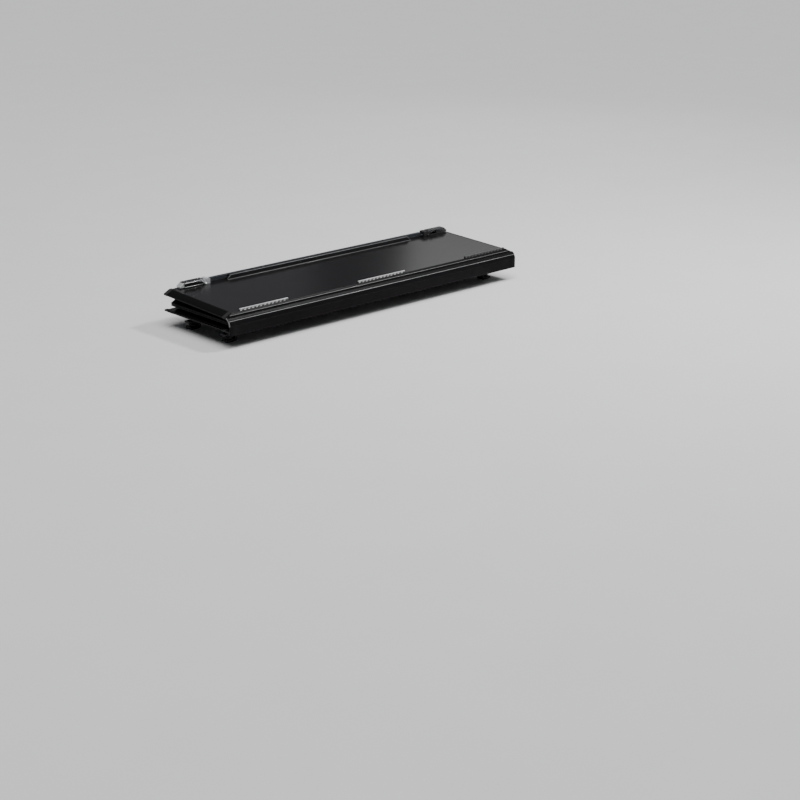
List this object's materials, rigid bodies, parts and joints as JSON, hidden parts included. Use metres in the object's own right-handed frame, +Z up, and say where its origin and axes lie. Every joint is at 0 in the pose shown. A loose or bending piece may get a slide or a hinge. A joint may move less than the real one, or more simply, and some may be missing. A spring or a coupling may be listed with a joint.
{
  "type": "folding tonneau cover",
  "caption": "Hard folding pickup bed cover, folded up on its clamped front panel, with a wide flexible hinge band, spring bolt latches and bed rail clamps.",
  "frame": {"origin": "middle of the footprint, on the surface that the four clamp brackets stand on", "axes": "+X to the truck's right, +Y to the cab, +Z up"},
  "size_m": [1.778, 0.5002, 0.2014],
  "materials": {
    "skin": "satin black powder coat on aluminium sheet",
    "rail": "satin black powder-coated extrusion",
    "core": "rigid foam core",
    "seal": "matt black rubber",
    "band": "smooth satin black flexible sheet",
    "bar": "satin grey powder coat",
    "pad": "light grey ribbed plastic",
    "steel": "bright zinc-plated steel",
    "housing": "dark painted pressed steel",
    "clamp": "black-painted cast aluminium"
  },
  "bodies": {
    "front_panel": {"p1_inner_skin": "skin", "p1_outer_skin": "skin", "p1_core": "core", "p1_side_rail_left": "rail", "p1_side_rail_right": "rail", "p1_cab_rail": "rail", "p1_hinge_rail": "rail", "side_seal_left": "seal", "side_seal_right": "seal", "bulkhead_seal": "seal", "rest_strip": "seal", "clamp_bracket_left_rear": "clamp", "clamp_bracket_left_front": "clamp", "clamp_bracket_right_rear": "clamp", "clamp_bracket_right_front": "clamp"},
    "wide_hinge": {"hinge_band_wide": "band"},
    "folded_panels": {"p2_outer_skin": "skin", "p2_inner_skin": "skin", "p2_core": "core", "p2_side_rail_left": "rail", "p2_side_rail_right": "rail", "p2_tail_rail": "rail", "p2_hinge_rail": "rail", "tail_bar": "bar", "cable_cover": "housing", "release_cable": "steel", "edge_pad_left": "pad", "edge_pad_middle": "pad", "edge_pad_right": "pad", "p3_slab": "skin", "p3_cab_rail": "rail", "p4_slab": "skin", "p4_tail_rail": "rail", "tail_seal": "seal", "hinge_band_front": "band", "hinge_band_inner": "band", "side_latch_housing_left": "steel", "side_latch_spring_left": "steel", "latch_bracket_left": "steel", "tail_latch_housing_left": "housing", "tail_latch_spring_left": "steel", "side_latch_housing_right": "steel", "side_latch_spring_right": "steel", "latch_bracket_right": "steel", "tail_latch_housing_right": "housing", "tail_latch_spring_right": "steel"},
    "pull_lever_left": {"latch_lever_left": "steel"},
    "side_bolt_left": {"side_latch_bolt_left": "steel"},
    "tail_bolt_left": {"tail_latch_bolt_left": "steel"},
    "pull_lever_right": {"latch_lever_right": "steel"},
    "side_bolt_right": {"side_latch_bolt_right": "steel"},
    "tail_bolt_right": {"tail_latch_bolt_right": "steel"},
    "wheel_left_rear": {"clamp_wheel_left_rear": "clamp"},
    "jaw_left_rear": {"clamp_jaw_left_rear": "clamp"},
    "wheel_left_front": {"clamp_wheel_left_front": "clamp"},
    "jaw_left_front": {"clamp_jaw_left_front": "clamp"},
    "wheel_right_rear": {"clamp_wheel_right_rear": "clamp"},
    "jaw_right_rear": {"clamp_jaw_right_rear": "clamp"},
    "wheel_right_front": {"clamp_wheel_right_front": "clamp"},
    "jaw_right_front": {"clamp_jaw_right_front": "clamp"}
  },
  "joints": [
    {"name": "fold_lower", "type": "hinge", "parent": "front_panel", "child": "wide_hinge", "pos_m": [0, -0.2481, 0.081], "axis": [1, 0, 0], "range_deg": [0, 106.3], "deforming": ["hinge_band_wide"]},
    {"name": "fold_upper", "type": "hinge", "parent": "wide_hinge", "child": "folded_panels", "pos_m": [0, -0.2311, 0.139], "axis": [1, 0, 0], "range_deg": [0, 71.7]},
    {"name": "lever_left", "type": "hinge", "parent": "folded_panels", "child": "pull_lever_left", "pos_m": [-0.682, 0.1996, 0.17785], "axis": [0, 0.9994, 0.0349], "range_deg": [0, 30]},
    {"name": "side_bolt_slide_left", "type": "slide", "parent": "folded_panels", "child": "side_bolt_left", "axis": [1, 0, 0], "range_m": [0, 0.014], "stiffness_N_per_m": 250, "springref_m": -0.01, "deforming": ["side_latch_spring_left"]},
    {"name": "tail_bolt_slide_left", "type": "slide", "parent": "folded_panels", "child": "tail_bolt_left", "axis": [1, 0, 0], "range_m": [0, 0.012], "stiffness_N_per_m": 250, "springref_m": -0.01, "deforming": ["tail_latch_spring_left"]},
    {"name": "lever_right", "type": "hinge", "parent": "folded_panels", "child": "pull_lever_right", "pos_m": [0.715, 0.1996, 0.17785], "axis": [0, -0.9994, -0.0349], "range_deg": [0, 30]},
    {"name": "side_bolt_slide_right", "type": "slide", "parent": "folded_panels", "child": "side_bolt_right", "axis": [-1, 0, 0], "range_m": [0, 0.014], "stiffness_N_per_m": 250, "springref_m": -0.01, "deforming": ["side_latch_spring_right"]},
    {"name": "tail_bolt_slide_right", "type": "slide", "parent": "folded_panels", "child": "tail_bolt_right", "axis": [-1, 0, 0], "range_m": [0, 0.012], "stiffness_N_per_m": 250, "springref_m": -0.01, "deforming": ["tail_latch_spring_right"]},
    {"name": "wheel_turn_left_rear", "type": "hinge", "parent": "front_panel", "child": "wheel_left_rear", "pos_m": [-0.802, -0.1221, 0.017], "axis": [0, 0, 1], "range_deg": [0, 1080]},
    {"name": "jaw_slide_left_rear", "type": "slide", "parent": "front_panel", "child": "jaw_left_rear", "axis": [0, 0, -1], "range_m": [0, 0.0075]},
    {"name": "wheel_turn_left_front", "type": "hinge", "parent": "front_panel", "child": "wheel_left_front", "pos_m": [-0.802, 0.1479, 0.017], "axis": [0, 0, 1], "range_deg": [0, 1080]},
    {"name": "jaw_slide_left_front", "type": "slide", "parent": "front_panel", "child": "jaw_left_front", "axis": [0, 0, -1], "range_m": [0, 0.0075]},
    {"name": "wheel_turn_right_rear", "type": "hinge", "parent": "front_panel", "child": "wheel_right_rear", "pos_m": [0.802, -0.1221, 0.017], "axis": [0, 0, 1], "range_deg": [0, 1080]},
    {"name": "jaw_slide_right_rear", "type": "slide", "parent": "front_panel", "child": "jaw_right_rear", "axis": [0, 0, -1], "range_m": [0, 0.0075]},
    {"name": "wheel_turn_right_front", "type": "hinge", "parent": "front_panel", "child": "wheel_right_front", "pos_m": [0.802, 0.1479, 0.017], "axis": [0, 0, 1], "range_deg": [0, 1080]},
    {"name": "jaw_slide_right_front", "type": "slide", "parent": "front_panel", "child": "jaw_right_front", "axis": [0, 0, -1], "range_m": [0, 0.0075]}
  ],
  "couplings": [
    {"joint": "fold_upper", "follows": "fold_lower", "ratio": 0.6745},
    {"joint": "side_bolt_slide_right", "follows": "side_bolt_slide_left", "ratio": 1},
    {"joint": "lever_left", "follows": "side_bolt_slide_left", "rad_per_m": 37.3},
    {"joint": "lever_right", "follows": "side_bolt_slide_left", "rad_per_m": 37.3},
    {"joint": "tail_bolt_slide_right", "follows": "tail_bolt_slide_left", "ratio": 1},
    {"joint": "wheel_turn_left_rear", "follows": "jaw_slide_left_rear", "rad_per_m": 2513},
    {"joint": "wheel_turn_left_front", "follows": "jaw_slide_left_front", "rad_per_m": 2513},
    {"joint": "wheel_turn_right_rear", "follows": "jaw_slide_right_rear", "rad_per_m": 2513},
    {"joint": "wheel_turn_right_front", "follows": "jaw_slide_right_front", "rad_per_m": 2513}
  ]
}
